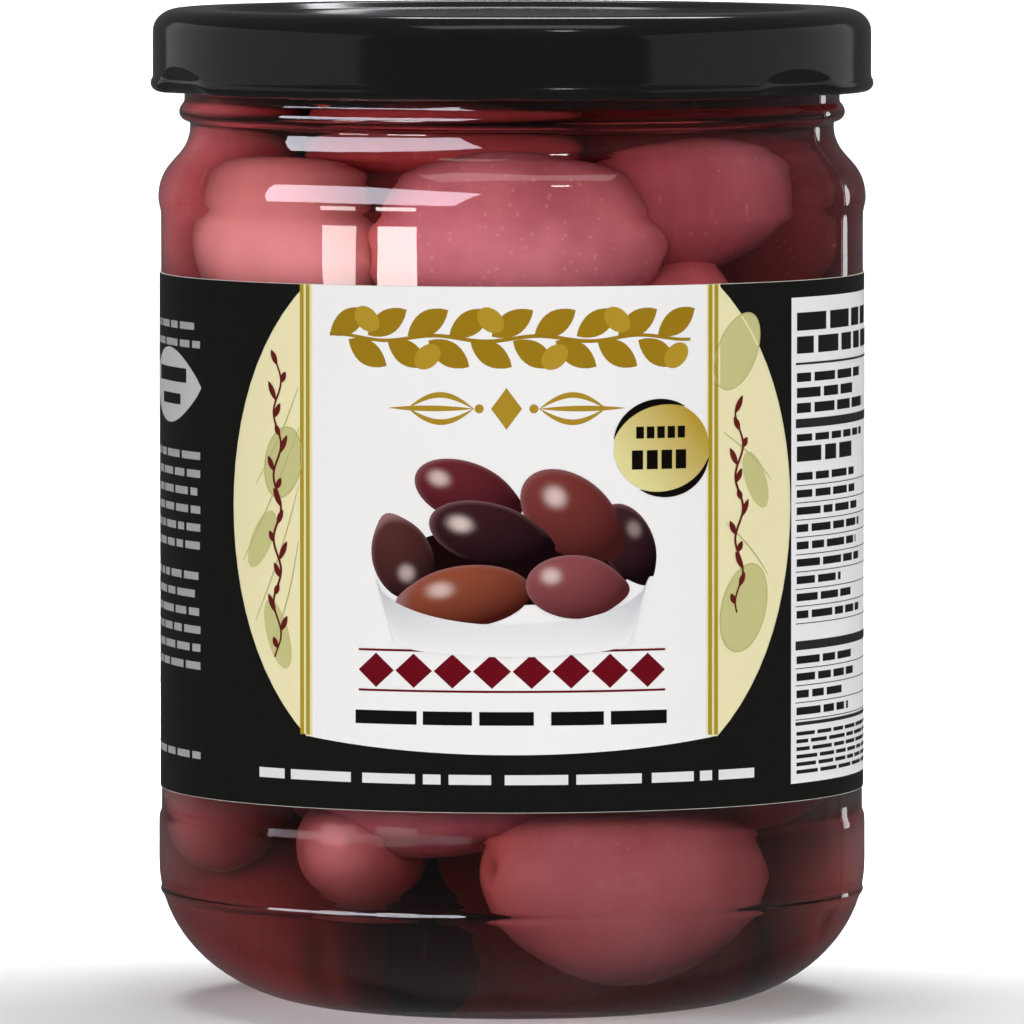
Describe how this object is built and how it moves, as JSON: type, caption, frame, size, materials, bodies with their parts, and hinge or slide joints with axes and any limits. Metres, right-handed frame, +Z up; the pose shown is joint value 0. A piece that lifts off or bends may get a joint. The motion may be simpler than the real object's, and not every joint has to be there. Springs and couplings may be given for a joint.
{
  "type": "jar of olives",
  "caption": "Closed glass twist-off jar of large purple-red olives in brine, with a glossy black steel lid and a wrap-around paper label.",
  "frame": {"origin": "centre of the base, on the surface the jar stands on", "axes": "+Z up along the jar's axis; -Y towards the middle of the label; +X to the right as the label is read"},
  "size_m": [0.0812, 0.081, 0.112],
  "materials": {
    "jar_glass": "clear, polished",
    "lid_lacquer": "gloss black lacquer on tinplate",
    "label_paper": "printed, satin varnish",
    "brine": "clear red-brown liquid",
    "olive_skin": "smooth, wet"
  },
  "bodies": {
    "root": {"glass_jar": "jar_glass", "lid": "lid_lacquer", "label": "label_paper", "brine": "brine", "olives": "olive_skin"}
  },
  "joints": []
}
